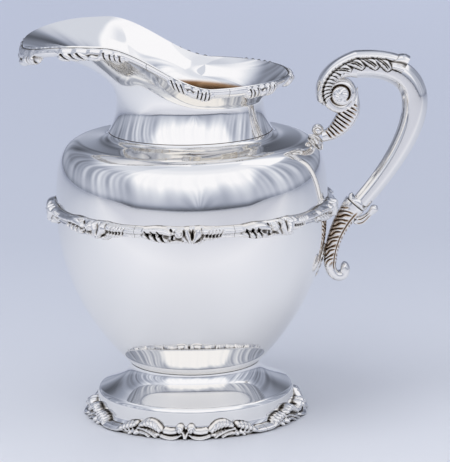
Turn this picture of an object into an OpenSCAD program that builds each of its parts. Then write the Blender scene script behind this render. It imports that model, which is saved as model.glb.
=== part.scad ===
// Silver cream jug: raised body on a domed foot, wide pouring lip, cast borders and a cast scroll handle.
// Millimetres, +Z up. The origin is the middle of the foot's underside, on the table.
// The handle is on +X and the spout on -X.

/* [Foot] */
// Radius of the upright skirt of the foot
foot_r = 35; // [30:0.5:44]
// Height of the upright skirt of the foot
skirt_h = 4.2; // [3:0.1:6]
// Height of the waist, where the bowl stands on the foot
foot_h = 17.8; // [14:0.2:22]
// Radius of the waist
waist_r = 21.5; // [17:0.5:26]

/* [Body] */
// Radius of the body at its belt
body_r = 45; // [40:0.5:54]
// Height of the lower bowl, from the waist to the belt
bowl_h = 52.7; // [43:0.5:64]
// Height of the upper bowl, from the belt to the edge of the shoulder
shoulder_h = 22.7; // [19:0.5:28]
// Width of the rounded edge of the shoulder
shoulder_round = 9; // [7:0.5:11]
// Thickness of the silver sheet
sheet_t = 0.9; // [0.7:0.05:1.3]
// Solder gap between two pieces
solder = 0.12; // [0.1:0.01:0.14]

/* [Neck and lip] */
// Radius of the narrowest part of the neck
neck_r = 23.2; // [19:0.2:28]
// Widening of the neck at its foot
neck_flare = 5.2; // [4:0.1:6.2]
// Height of the neck, from its foot to its narrowest part
neck_h = 7.4; // [6:0.1:9]
// Height of the lip at the back, above the narrowest part of the neck
lip_back_h = 11; // [9:0.2:14]
// Further height of the two side wings of the lip
wing_h = 14.2; // [11:0.2:17]
// Drop from the wings to the tip of the spout
spout_drop = 3; // [2:0.2:4]
// Reach of the lip at the back, from the axis
lip_back_r = 32.6; // [31:0.2:39]
// Reach of the lip at each side, from the axis
lip_side_r = 32.6; // [31:0.2:39]
// Reach of the spout, from the axis
spout_r = 54.4; // [45:0.2:64]

/* [Cast borders] */
// Number of castings in the belt round the body
belt_count = 9; // [6:1:12]
// Height of the belt
belt_h = 7.4; // [6:0.1:8]
// Depth of the belt, out from the body
belt_depth = 3.2; // [2.4:0.1:4]
// Number of castings in the border of the foot
foot_count = 4; // [3:1:6]
// Height of the leaf peaks of the foot border
foot_border_h = 6; // [5:0.1:7.5]
// Depth of the foot border, out from the skirt
foot_border_depth = 2.8; // [2.2:0.1:3.4]
// Number of castings in the border of the lip
rim_count = 8; // [6:1:12]
// Width of the lip border
rim_border_w = 4.2; // [3.4:0.1:5]
// Depth of the lip border, out from the sheet
rim_border_depth = 2.2; // [1.8:0.1:2.8]

/* [Handle] */
// Distance of the scroll's eye outside the body
scroll_out = 4.7; // [4:0.1:6]
// Height of the scroll's eye above the upper seat
scroll_up = 16.6; // [15:0.2:20]
// Distance of the loop's outermost guide point outside the body
loop_reach = 35.5; // [30:0.5:40]
// Depth of the loop's bar at its fullest, seen from the side
loop_depth = 8.4; // [7:0.1:9]
// Width of the loop's bar, across the handle
loop_width = 7.6; // [6:0.1:9]
// Depth of the loop's bar at its lower end
loop_end_depth = 5.8; // [4.8:0.1:6.6]
// Diameter of the ball beside the upper seat
ball_d = 4; // [3:0.1:4.6]

/* [Hidden] */

silver = "#cfd2d8";
oxidised = "#b9b8b6";
steps = 14;

// Curves: a cubic through its four control points, its direction, and the normal on its right
function bez(p, t) = let (u = 1 - t) p[0]*u*u*u + 3*p[1]*u*u*t + 3*p[2]*u*t*t + p[3]*t*t*t;
function unit(v) = v / norm(v);
function bez_way(p, t) =
    let (u = 1 - t)
    unit(u*u*(p[1] - p[0]) + 2*u*t*(p[2] - p[1]) + t*t*(p[3] - p[2]));
function right(d) = [d[1], -d[0]];
function beside(p, t, out) = bez(p, t) + out * right(bez_way(p, t));
function run(p, from, to, out = 0) =
    [for (i = [0:steps]) beside(p, from + (to - from) * i / steps, out)];
function flip(list) = [for (i = [len(list) - 1:-1:0]) list[i]];
function ease(x) = let (c = min(1, max(0, x))) c * c * (3 - 2 * c);

// Heights of the seams, from the table up
belt_z = foot_h + bowl_h;
shoulder_z = belt_z + shoulder_h;
shoulder_r = body_r - shoulder_round;

// Profiles of the raised pieces, as radius and height
bowl_curve = [
    [waist_r, foot_h],
    [waist_r + 0.49 * (body_r - waist_r), foot_h + 0.21 * bowl_h],
    [body_r, foot_h + 0.55 * bowl_h],
    [body_r, belt_z]
];
waist_way = bez_way(bowl_curve, 0);
bowl_dip = 0.29 * waist_r;
base_curve = [
    [0, foot_h - bowl_dip],
    [0.46 * waist_r, foot_h - bowl_dip],
    [waist_r, foot_h] - 0.27 * waist_r * waist_way,
    [waist_r, foot_h]
];
waist_out = [waist_r, foot_h] + solder * right(waist_way);
waist_in = waist_out - sheet_t / waist_way[0] * waist_way;
foot_curve = [
    [foot_r, skirt_h],
    [foot_r - 0.05 * (foot_r - waist_r), skirt_h + 0.36 * (foot_h - skirt_h)],
    [waist_out[0], skirt_h + 0.6 * (foot_h - skirt_h)],
    waist_out
];
shoulder_curve = [
    [body_r, belt_z + solder],
    [body_r, belt_z + 0.64 * shoulder_h],
    [body_r - 0.2 * shoulder_round, shoulder_z - 0.03 * shoulder_h],
    [shoulder_r, shoulder_z]
];
shoulder_way = bez_way(shoulder_curve, 1);
// The top of the shoulder runs straight to the neck and is turned up there in a tight bend
collar_h = 2.2;
neck_way = unit([-0.8, 1]);
corner = [shoulder_r, shoulder_z] - (shoulder_r - neck_r - neck_flare) / shoulder_way[0] * shoulder_way;
neck_foot = corner + collar_h * neck_way;
neck_z = neck_foot[1] + neck_h;
rim_z = neck_z + lip_back_h;
top_curve = [
    [shoulder_r, shoulder_z],
    0.2 * [shoulder_r, shoulder_z] + 0.8 * corner,
    corner,
    neck_foot
];
neck_curve = [
    neck_foot,
    neck_foot + 0.4 * neck_h * neck_way,
    [neck_r, neck_z - 0.45 * neck_h],
    [neck_r, neck_z]
];

// Outline of the lip in plan, as the reach from the axis at each angle: round at the back,
// and a squarer oval towards the spout
spout_square = 2.9;
function lip_reach(a) =
    let (n = cos(a) < 0 ? spout_square : 2)
    let (along = cos(a) < 0 ? spout_r : lip_back_r)
    pow(pow(abs(cos(a)) / along, n) + pow(abs(sin(a)) / lip_side_r, n), -1 / n);
// Height of the lip: low at the back, swept up to the wings, dropping a little to the tip
function lip_height(a) =
    let (x = -lip_reach(a) * cos(a))
    rim_z + wing_h * ease((x + 0.25 * lip_back_r) / (0.67 * spout_r))
    - spout_drop * pow(max(0, (x - 0.62 * spout_r) / (0.38 * spout_r)), 2);
// Profile of the lip at an angle: straight up out of the neck, then flared to the edge
function lip_curve(a) =
    let (s = (1 - cos(a)) / 2)
    let (edge = [lip_reach(a), lip_height(a)])
    let (rise = 2.4 + 9.4 * pow(s, 1.2))
    let (flare = 0.66 * (lip_back_r - neck_r) * (1 + 2.8 * pow(s, 3)))
    let (slope = 52 + 5 * pow(sin(a), 2) - 40 * pow(s, 3))
    [[neck_r, neck_z], [neck_r, neck_z + rise], edge - flare * [cos(slope), sin(slope)], edge];

// A closed skin over rings of equal size; the ends are capped unless it goes right round
function middle(ring) = [for (k = [0:2]) total(ring, k) / len(ring)];
function total(ring, k, i = 0) = i == len(ring) ? 0 : ring[i][k] + total(ring, k, i + 1);
module skin(rings, round = false) {
    n = len(rings);
    m = len(rings[0]);
    last = round ? n : n - 1;
    body = [for (r = rings) each r];
    sides = [
        for (i = [0:last - 1], j = [0:m - 1])
        let (a = i*m + j, b = i*m + (j + 1) % m, up = ((i + 1) % n - i) * m)
        each [[a, b, a + up], [b, b + up, a + up]]
    ];
    ends = [
        for (j = [0:m - 1])
        let (k = (j + 1) % m, top = (n - 1) * m)
        each [[n*m, k, j], [n*m + 1, top + j, top + k]]
    ];
    if (round)
        polyhedron(body, sides, 6);
    else
        polyhedron(concat(body, [middle(rings[0]), middle(rings[n - 1])]), concat(sides, ends), 6);
}

// A profile point turned about the jug's axis
function turned(p, a) = [p[0] * cos(a), p[0] * sin(a), p[1]];
module spun(profile) {
    rotate_extrude($fn = 180) polygon(profile);
}

// Foot: one raised sheet, an upright skirt below a dome that rises to the waist
module foot() {
    color(silver) spun(concat(
        [[foot_r, 0]],
        run(foot_curve, 0, 1),
        [waist_in],
        flip(run(foot_curve, 0, 0.9, -sheet_t)),
        [[foot_r - sheet_t, 0]]
    ));
}

// Lower bowl: one raised cup with a rounded base that stands in the foot
module lower_bowl() {
    color(silver) spun(concat(
        run(base_curve, 0, 1),
        run(bowl_curve, 1 / steps, 1),
        flip(run(bowl_curve, 1 / steps, 1, -sheet_t)),
        flip(run(base_curve, 0, 1, -sheet_t))
    ));
}

// Upper bowl: the shoulder, joined to the lower bowl behind the belt and turned up round the neck
module upper_bowl() {
    color(silver) spun(concat(
        run(shoulder_curve, 0, 1),
        run(top_curve, 1 / steps, 1),
        flip(run(top_curve, 1 / steps, 1, -sheet_t)),
        flip(run(shoulder_curve, 0, 1, -sheet_t))
    ));
}

// Neck and lip: one sheet, round where it stands on the shoulder and drawn out to the spout
rim_columns = 12;
rim_turn = 180;
lip_columns = rim_count * rim_columns;
neck_rows = 2;
lip_rows = 5;
function lip_side(a, out) =
    let (curve = lip_curve(a))
    concat(
        [neck_foot + solder * neck_way + out * right(neck_way)],
        [for (i = [1:neck_rows - 1]) beside(neck_curve, i / neck_rows, out)],
        [for (i = [0:lip_rows - 1]) beside(curve, lip_t(curve, rim_border_w) * i / lip_rows, out)],
        [for (i = [0:2]) beside(curve, lip_t(curve, rim_border_w * (1 - i / 2)), out)]
    );
module neck_and_lip() {
    color(silver) skin([
        for (i = [0:lip_columns - 1])
        let (a = rim_turn + 360 * (i / lip_columns - 0.5 / rim_count))
        [for (p = concat(lip_side(a, 0), flip(lip_side(a, -sheet_t)))) turned(p, a)]
    ], true);
}

// Ornament: waves of slanted flutes, and a mask that is 1 between two places and 0 outside
function flutes(x, y, pitch, lean) = cos(360 * (x + lean * y) / pitch);
function between(x, low, high, edge) = ease((x - low) / edge) * ease((high - x) / edge);

// Belt: castings butted end to end over the seam of the body. Each has a shell in the middle,
// a fluted leaf on each side of it and a plain stepped bar at its ends.
belt_columns = 18;
belt_rows = 6;
belt_turn = -93.4;
function belt_front(u, v) =
    let (x = 16 * u, y = 0.5 * belt_h * v, side = abs(x))
    let (shell = between(side, -1, 3.6, 1) * 0.5 * flutes(side, -y, 2.4, 0.6))
    let (ball = 0.9 * exp(-(pow(side - 5, 2) + pow(y - 1, 2)) / 2))
    let (leaf = between(side, 5.5, 11.5, 1) * 0.45 * flutes(side, y, 2.2, 0.7))
    let (bar = ease((side - 11.5) / 1.5))
    belt_depth * sqrt(1 - 0.999 * v * v) * (1 - 0.22 * bar) + (1 - v * v) * (shell + ball + leaf);
function belt_reach(u) = 1 - 0.2 * ease((abs(u) - 0.7) / 0.1);
module belt_border(k) {
    half = 180 / belt_count - solder / body_r * 57.3 / 2;
    color(oxidised) skin([
        for (i = [0:belt_columns])
        let (u = 2 * i / belt_columns - 1, a = belt_turn + 360 * k / belt_count + half * u)
        let (h = 0.5 * belt_h * belt_reach(u))
        [for (p = concat(
            [for (j = [0:belt_rows]) let (v = -cos(180 * j / belt_rows))
                [body_r + solder + belt_front(u, v), belt_z + h * v]],
            [[body_r + solder, belt_z + 0.5 * h], [body_r + solder, belt_z - 0.5 * h]]
        )) turned(p, a)]
    ]);
}

// Foot border: castings round the skirt, flush with the table. Leaf peaks climb the dome,
// and plain bars lie low between them.
foot_columns = 22;
foot_rows = 5;
foot_turn = -96;
// A place on the foot's outside, by the distance up from the table
function foot_place(up, out) =
    up <= skirt_h ? [foot_r + out, up]
    : beside(foot_curve, (up - skirt_h) / (3 * norm(foot_curve[1] - foot_curve[0])), out);
function foot_height(u) =
    let (side = abs(u))
    let (leaf = exp(-pow((side - 0.4) / 0.13, 2)), bow = exp(-pow(u / 0.12, 2)))
    foot_border_h * (0.5 + 0.5 * leaf + 0.22 * bow);
function foot_front(u, v) =
    let (x = 28 * u, side = abs(x))
    let (leaf = between(side, 8, 20, 2) * 0.35 * flutes(side, 8 * v, 3, 0.6))
    let (bead = 0.9 * exp(-(pow(side - 2, 2) + pow(6 * v - 3, 2)) / 2.5))
    foot_border_depth * (1 - 0.55 * v * v) + sin(180 * v) * (leaf + bead);
module foot_border(k) {
    half = 180 / foot_count - solder / foot_r * 57.3 / 2;
    color(oxidised) skin([
        for (i = [0:foot_columns])
        let (u = 2 * i / foot_columns - 1, a = foot_turn + 360 * k / foot_count + half * u)
        let (h = foot_height(u), bend = min(0.9 * h, skirt_h))
        [for (p = concat(
            [[foot_r + solder, 0]],
            [for (j = [0:foot_rows - 1]) let (v = j / foot_rows)
                foot_place(h * v, solder + foot_front(u, v))],
            [foot_place(h, solder + 0.35), foot_place(h, solder)],
            [for (k = [2:-1:0]) foot_place(bend + (h - bend) * k / 3, solder)]
        )) turned(p, a)]
    ]);
}

// Lip border: castings along the outside of the lip, a little proud of its edge, with a
// cluster of scrolls in the middle of each. They hang deeper towards the tip of the spout.
rim_rows = 6;
edge_rise = 0.6;
// A place on the outside of the lip, by the distance in from its edge
function lip_t(curve, in) = 1 - in / (3 * norm(curve[3] - curve[2]));
function lip_place(curve, in, out) =
    in < 0 ? curve[3] - in * bez_way(curve, 1) + out * right(bez_way(curve, 1))
    : beside(curve, lip_t(curve, in), out);
function bold(a) = 1 + 1.3 * pow((1 - cos(a)) / 2, 4);
function rim_front(x, v) =
    let (cluster = between(abs(x), -1, 6.5, 1.5))
    rim_border_depth * (0.55 + 0.45 * cluster) * sqrt(sin(180 * v) + 0.001)
    + 0.35 * cluster * sin(180 * v) * flutes(abs(x), 4 * v, 2.6, 0.7);
module rim_border(k) {
    half = 180 / rim_count - solder / lip_side_r * 57.3 / 2;
    color(oxidised) skin([
        for (i = [0:rim_columns])
        let (u = 2 * i / rim_columns - 1, a = rim_turn + 360 * k / rim_count + half * u)
        let (curve = lip_curve(a), x = half * u * 0.0175 * lip_reach(a) / bold(a))
        let (w = rim_border_w * (0.74 + 0.26 * between(abs(x), -1, 6.5, 2)))
        [for (p = concat(
            [for (j = [0:rim_rows]) let (v = j / rim_rows)
                lip_place(curve, w - (w + edge_rise) * (1 - cos(180 * v)) / 2,
                    solder + bold(a) * rim_front(x, v))],
            [for (v = [0, 0.5, 0.8]) lip_place(curve, w * v, solder)]
        )) turned(p, a)]
    ]);
}

// Handle. It lies in the plane through the axis, so its paths are given as distance from the
// axis and height, and hang on the two seats on the body.
upper_t = 0.683;
lower_t = 0.74;
upper_seat = bez(shoulder_curve, upper_t);
lower_seat = bez(bowl_curve, lower_t);
function between_seats(out, share) =
    [body_r + out, lower_seat[1] + share * (upper_seat[1] - lower_seat[1])];

// An oval with flattened sides, a deep and b wide, at an angle from the inner side of a bar
bar_square = 0.78;
function oval(a, b, angle) = [
    a * sign(cos(angle)) * pow(abs(cos(angle)), bar_square),
    b * sign(sin(angle)) * pow(abs(sin(angle)), bar_square)
];
// A station is a place on a path, its direction, and half of the depth and width of the bar there
function on_station(s, q) =
    let (p = s[0] + q[0] * right(s[1]))
    [p[0], -q[1], p[1]];
module bar(stations, sides = 12) {
    skin([
        for (s = stations)
        [for (j = [0:sides - 1]) on_station(s, oval(s[2], s[3], 360 * j / sides))]
    ]);
}

// Volute: a scroll that winds in from the loop to a round eye
eye = [body_r + scroll_out, upper_seat[1] + scroll_up];
volute_from = 60;
volute_to = 570;
function volute_r(a) = 4.9 * (1 - 0.78 * ease((a - 240) / 330)) + 5.2 * exp(-(a - volute_from) / 45);
function volute_depth(a) =
    1.65 + 2.1 * exp(-(a - volute_from) / 32) - 0.45 * ease((a - 240) / 200)
    + 0.9 * ease((a - 470) / 80);
function volute_width(a) = 0.5 * loop_width * (1 - 0.25 * ease((a - 100) / 200) + 0.1 * ease((a - 440) / 90));
function volute_point(a) = eye + volute_r(a) * [cos(a), sin(a)];
function volute_station(a) =
    [volute_point(a), unit(volute_point(a - 1) - volute_point(a + 1)), volute_depth(a), volute_width(a)];
volute_turn = 15;
module handle_volute() {
    color(silver) bar(concat(
        [let (s = volute_station(volute_to)) [s[0] - 0.8 * s[1], s[1], 0.5 * s[2], 0.6 * s[3]]],
        [for (a = [volute_to:-volute_turn:volute_from]) volute_station(a)]
    ), 10);
}

// Loop: a bar cast in two halves, soldered down the middle, full at the top and tapered below
volute_end = volute_station(volute_from);
loop_start = volute_end[0] + solder * volute_end[1];
loop_curve = [
    loop_start,
    loop_start + 0.7 * loop_reach * volute_end[1],
    between_seats(loop_reach, 1.2),
    between_seats(0.31 * loop_reach, 0.46)
];
loop_steps = 28;
function loop_depth_at(t) =
    volute_end[2] + (loop_depth / 2 - volute_end[2]) * ease(t / 0.3)
    - (loop_depth - loop_end_depth) / 2 * ease((t - 0.45) / 0.55);
function loop_station(t) = [
    bez(loop_curve, t),
    bez_way(loop_curve, t),
    loop_depth_at(t),
    0.5 * loop_width * (1 - 0.3 * ease((t - 0.5) / 0.5))
];
module loop_half() {
    color(silver) skin([
        for (i = [0:loop_steps])
        let (s = loop_station(i / loop_steps))
        [for (j = [0:8]) let (q = oval(s[2], s[3], 22.5 * j)) on_station(s, [q[0], max(q[1], solder / 2)])]
    ]);
}
module handle_loop_near() { loop_half(); }
module handle_loop_far() { mirror([0, 1, 0]) loop_half(); }

// Leaf: an acanthus leaf laid over the outside of the scroll and the loop, up to a thumb tip
leaf_t = 1.4;
leaf_tip_t = 3;
leaf_from = 210;
leaf_loop_steps = 7;
leaf_stations = concat(
    [for (a = [leaf_from:-volute_turn:volute_from]) volute_station(a)],
    [for (i = [1:leaf_loop_steps]) loop_station(i / loop_steps)]
);
leaf_last = len(leaf_stations) - 1;
function leaf_thick(share) =
    leaf_t * ease(share / 0.12 + 0.15) + (leaf_tip_t - leaf_t) * ease((share - 0.75) / 0.25);
module handle_leaf() {
    color(oxidised) skin([
        for (i = [0:leaf_last])
        let (s = leaf_stations[i], share = i / leaf_last, thick = leaf_thick(share))
        let (vein = 0.25 * leaf_t * (i % 2))
        [for (q = concat(
            [for (j = [0:6]) let (g = 112.5 + 22.5 * j, fold = j == 3 ? 1.15 : 1)
                oval(s[2] + solder + fold * thick - vein * (j % 2), s[3] + solder + 0.5 * thick, g)],
            [for (j = [6:-1:0]) oval(s[2] + solder, s[3] + solder, 112.5 + 22.5 * j)]
        )) on_station(s, q)]
    ]);
}

// Tail: a reeded bar that leaves the scroll at its side and curls down to the upper seat
tail_end = upper_seat + [3.2, 1.8];
tail_curve = [eye + [6.6, 0.6], eye + [7.3, -5.4], tail_end + [8.2, -0.1], tail_end];
tail_steps = 18;
function tail_depth(t) = 0.8 + 2.3 * ease((t - 0.1) / 0.45) - ease((t - 0.6) / 0.4);
function tail_width(t) = 2.6 + 0.7 * ease(t / 0.5) - 1.1 * ease((t - 0.5) / 0.5);
module handle_tail() {
    color(oxidised) bar([
        for (i = [0:tail_steps])
        let (t = i / tail_steps, reed = 1 + 0.07 * (i % 2) * ease(t / 0.1) * ease((0.9 - t) / 0.1))
        [bez(tail_curve, t), bez_way(tail_curve, t), reed * tail_depth(t), reed * tail_width(t)]
    ], 10);
}

// Upper seat: a domed leaf soldered on the shoulder, which the tail meets
module seat_leaf(curve, t, along, across, height) {
    columns = 8;
    rows = 6;
    place = bez(curve, t);
    step = along / norm(bez(curve, t + 0.01) - bez(curve, t - 0.01)) * 0.02;
    skin([
        for (i = [0:columns])
        let (u = 2 * i / columns - 1, a = across / place[0] * 57.3 * u)
        let (reach = step * sqrt(1 - 0.97 * u * u))
        [for (p = concat(
            [for (j = [0:rows]) let (v = 2 * j / rows - 1)
                beside(curve, t + reach * v, solder + 0.15 + height * (1 - v * v) * (1 - u * u))],
            [for (j = [rows - 1:-1:1]) beside(curve, t + reach * (2 * j / rows - 1), solder)]
        )) turned(p, a)]
    ]);
}
module handle_upper_seat() {
    color(oxidised) seat_leaf(shoulder_curve, upper_t - 0.05, 3.8, 4.4, 2.4);
}

// Ball: a bead in the angle between the tail and the seat
module handle_ball() {
    color(silver) translate([tail_end[0] - 2.6, 0, tail_end[1] + ball_d / 2 + 0.6])
        sphere(d = ball_d, $fn = 48);
}

// Collar: a moulded ring between the loop and the terminal
collar_t = 1.7;
loop_foot = loop_station(1);
collar_way = loop_foot[1];
module handle_collar() {
    color(silver) bar([
        for (q = [[0, 0.86], [0.25, 1], [0.75, 1], [1, 0.86]])
        [loop_foot[0] + (solder + q[0] * collar_t) * collar_way + 0.9 * right(collar_way), collar_way,
            q[1] * (loop_foot[2] + 1), q[1] * (loop_foot[3] + 0.6)]
    ], 16);
}

// Terminal: a leafy scroll from the collar down over the belt to the lower seat, with a curl
terminal_start = loop_foot[0] + (collar_t + 2 * solder) * collar_way + right(collar_way);
curl_eye = lower_seat + [5.9, -5.9];
curl_from = 135;
curl_to = 440;
function curl_r(a) = 1.75 + 2.75 * exp(-(a - curl_from) / 42) - 0.55 * ease((a - 300) / 140);
function curl_point(a) = curl_eye + curl_r(a) * [cos(a), sin(a)];
function curl_way(a) = unit(curl_point(a + 1) - curl_point(a - 1));
terminal_curve = [
    terminal_start,
    terminal_start + 5.5 * collar_way,
    curl_point(curl_from) - 9 * curl_way(curl_from),
    curl_point(curl_from)
];
terminal_steps = 18;
module handle_terminal() {
    color(oxidised) bar(concat(
        [for (i = [0:terminal_steps - 1])
            let (t = i / terminal_steps, rib = 1 - 0.06 * (i % 2) * ease(t / 0.1))
            [bez(terminal_curve, t), bez_way(terminal_curve, t),
                rib * (2.2 + 1.7 * pow(1 - t, 1.6)), rib * (3.4 - 0.4 * t)]],
        [for (a = [curl_from:25:curl_to])
            [curl_point(a), curl_way(a),
                1.15 + 1.05 * exp(-(a - curl_from) / 45), 3 - 0.5 * ease((a - curl_from) / 200)]]
    ), 10);
}

// Spur: a small leaf that springs from the outer side of the terminal
spur_t = 0.24;
spur_steps = 6;
module handle_spur() {
    side = -right(bez_way(terminal_curve, spur_t));
    from = bez(terminal_curve, spur_t) + 4.1 * side;
    curve = [from, from + 1.6 * side, from + [3.4, 1.1], from + [6, 3.9]];
    color(oxidised) bar([
        for (i = [0:spur_steps])
        let (t = i / spur_steps, depth = 1.3 + 0.5 * sin(180 * t) - 0.7 * ease((t - 0.7) / 0.3))
        [bez(curve, t), bez_way(curve, t), depth, 1.1 * depth]
    ], 10);
}

// Lower seat: a thin leaf on the bowl behind the terminal
module handle_lower_seat() {
    color(oxidised) seat_leaf(bowl_curve, lower_t - 0.04, 6, 5.5, 0.35);
}

foot();
lower_bowl();
upper_bowl();
neck_and_lip();
for (k = [1:foot_count]) foot_border(k);
for (k = [1:belt_count]) belt_border(k);
for (k = [1:rim_count]) rim_border(k);
handle_loop_near();
handle_loop_far();
handle_volute();
handle_leaf();
handle_tail();
handle_upper_seat();
handle_ball();
handle_collar();
handle_terminal();
handle_spur();
handle_lower_seat();
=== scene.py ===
import math

import bmesh
import bpy
import numpy as np
from mathutils import Matrix, Vector


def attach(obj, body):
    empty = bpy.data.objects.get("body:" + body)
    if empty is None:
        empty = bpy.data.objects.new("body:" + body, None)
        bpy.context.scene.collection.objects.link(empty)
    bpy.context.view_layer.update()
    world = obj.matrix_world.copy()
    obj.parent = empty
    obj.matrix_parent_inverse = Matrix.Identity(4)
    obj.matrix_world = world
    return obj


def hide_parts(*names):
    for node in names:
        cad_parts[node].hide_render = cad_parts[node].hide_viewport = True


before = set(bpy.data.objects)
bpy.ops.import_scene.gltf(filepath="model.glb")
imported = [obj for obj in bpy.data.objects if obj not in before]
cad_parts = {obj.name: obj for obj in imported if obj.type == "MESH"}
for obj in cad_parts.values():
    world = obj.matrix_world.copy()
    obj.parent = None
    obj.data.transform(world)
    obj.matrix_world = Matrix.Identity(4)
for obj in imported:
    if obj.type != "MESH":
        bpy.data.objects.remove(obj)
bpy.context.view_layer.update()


# Foot. One sheet of sterling silver, raised to a low dome over an upright skirt that flares at the
# table, with a rolled edge between them, and buffed to a mirror. It takes the bowl in its waist.
MM = 0.001
sheet_t = 0.9
solder = 0.12
foot_r = 35.0
skirt_h = 9.0
skirt_in = 2.3
skirt_flare_h = 4.2
foot_edge_r = 1.2
foot_h = 17.8
waist_r = 21.5
body_r = 45.0
bowl_h = 52.7
belt_z = foot_h + bowl_h


def unit(way):
    return way / np.linalg.norm(way, axis=-1, keepdims=True)


def curve_terms(p, t):
    """A curve's four points, and the places t on it, shaped to be multiplied together."""
    p = np.asarray(p, float)
    return [p[..., None, i, :] for i in range(4)] + [np.asarray(t, float)[..., None]]


def bezier(p, t):
    a, b, c, d, t = curve_terms(p, t)
    return a * (1 - t)**3 + 3 * b * (1 - t)**2 * t + 3 * c * (1 - t) * t**2 + d * t**3


def bezier_way(p, t):
    a, b, c, d, t = curve_terms(p, t)
    return unit((1 - t)**2 * (b - a) + 2 * (1 - t) * t * (c - b) + t**2 * (d - c))


def right(way):
    return np.stack([way[..., 1], -way[..., 0]], -1)


def beside(p, t, out=0.0):
    """The place at t on a curve, moved out to the right of its direction."""
    return bezier(p, t) + np.broadcast_to(out, np.shape(t))[..., None] * right(bezier_way(p, t))


def on_skirt(z, out):
    """A place at a height on the skirt of the foot, moved out from it."""
    flare = np.maximum(1 - z / skirt_flare_h, 0)**2
    return np.stack([foot_r - skirt_in * (1 - flare) + out, z], -1)


def turned(profile, angles):
    """Points of radius and height, turned about the jug's axis: one profile for all, or one per angle."""
    angles = np.asarray(angles)
    profile = np.broadcast_to(profile, (len(angles),) + np.shape(profile)[-2:])
    x = profile[..., 0] * np.cos(angles)[:, None]
    y = profile[..., 0] * np.sin(angles)[:, None]
    return np.stack([x, y, profile[..., 1]], -1)


def add_piece(name, rings, closed, material, oxide=0.0, node=""):
    """A skin over closed rings of points in mm, capped at its ends unless it closes on itself. Oxide is how
    far the silver has turned at each point, from 0 to 1; on the handle leaf it also holds a painted shadow
    round the leaf's edge. The piece stands for a CAD node, the one that it is named after unless told, and
    rides with the jug."""
    n, m = rings.shape[:2]
    index = np.arange(n * m).reshape(n, m)
    beyond = np.roll(index, -1, 0)
    quads = np.stack([index, np.roll(index, -1, 1), np.roll(beyond, -1, 1), beyond], -1)
    faces = (quads if closed else quads[:-1]).reshape(-1, 4).tolist()
    if not closed:
        faces += [index[0, ::-1].tolist(), index[-1].tolist()]
    mesh = bpy.data.meshes.new(name)
    mesh.from_pydata((rings.reshape(-1, 3) * MM).tolist(), [], faces)
    turned_dark = mesh.attributes.new("oxide", "FLOAT", "POINT")
    turned_dark.data.foreach_set("value", np.broadcast_to(oxide, (n, m)).astype(np.float32).ravel())
    work = bmesh.new()
    work.from_mesh(mesh)
    bmesh.ops.remove_doubles(work, verts=work.verts, dist=1e-7)
    bmesh.ops.recalc_face_normals(work, faces=work.faces)
    work.to_mesh(mesh)
    work.free()
    mesh.polygons.foreach_set("use_smooth", np.ones(len(mesh.polygons), bool))
    mesh.set_sharp_from_angle(angle=math.radians(60))
    mesh.materials.append(material)
    piece = bpy.data.objects.new(name, mesh)
    bpy.context.scene.collection.objects.link(piece)
    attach(piece, "root")
    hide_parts(node or piece.name.removesuffix("_finish"))


def linear(colour):
    """An sRGB hex colour as linear red, green, blue and alpha."""
    parts = [int(colour[i:i + 2], 16) / 255 for i in (1, 3, 5)]
    return [c / 12.92 if c <= 0.04045 else ((c + 0.055) / 1.055)**2.4 for c in parts] + [1.0]


def add_node(tree, kind, settings=None, links=None, stops=()):
    """One shader node, with its settings or socket values, the sockets that feed it and a ramp's stops."""
    node = tree.nodes.new("ShaderNode" + kind)
    for key, value in (settings or {}).items():
        if hasattr(node, str(key)):
            setattr(node, key, value)
        else:
            node.inputs[key].default_value = value
    for key, source in (links or {}).items():
        tree.links.new(source, node.inputs[key])
    for i, (position, colour) in enumerate(stops):
        stop = node.color_ramp.elements[i] if i < 2 else node.color_ramp.elements.new(position)
        stop.position = position
        stop.color = linear(colour)
    return node


def new_material(name):
    material = bpy.data.materials.new(name)
    material.use_nodes = True
    shader = material.node_tree.nodes["Principled BSDF"]
    shader.inputs["Metallic"].default_value = 1.0
    return material, material.node_tree, shader


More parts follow.
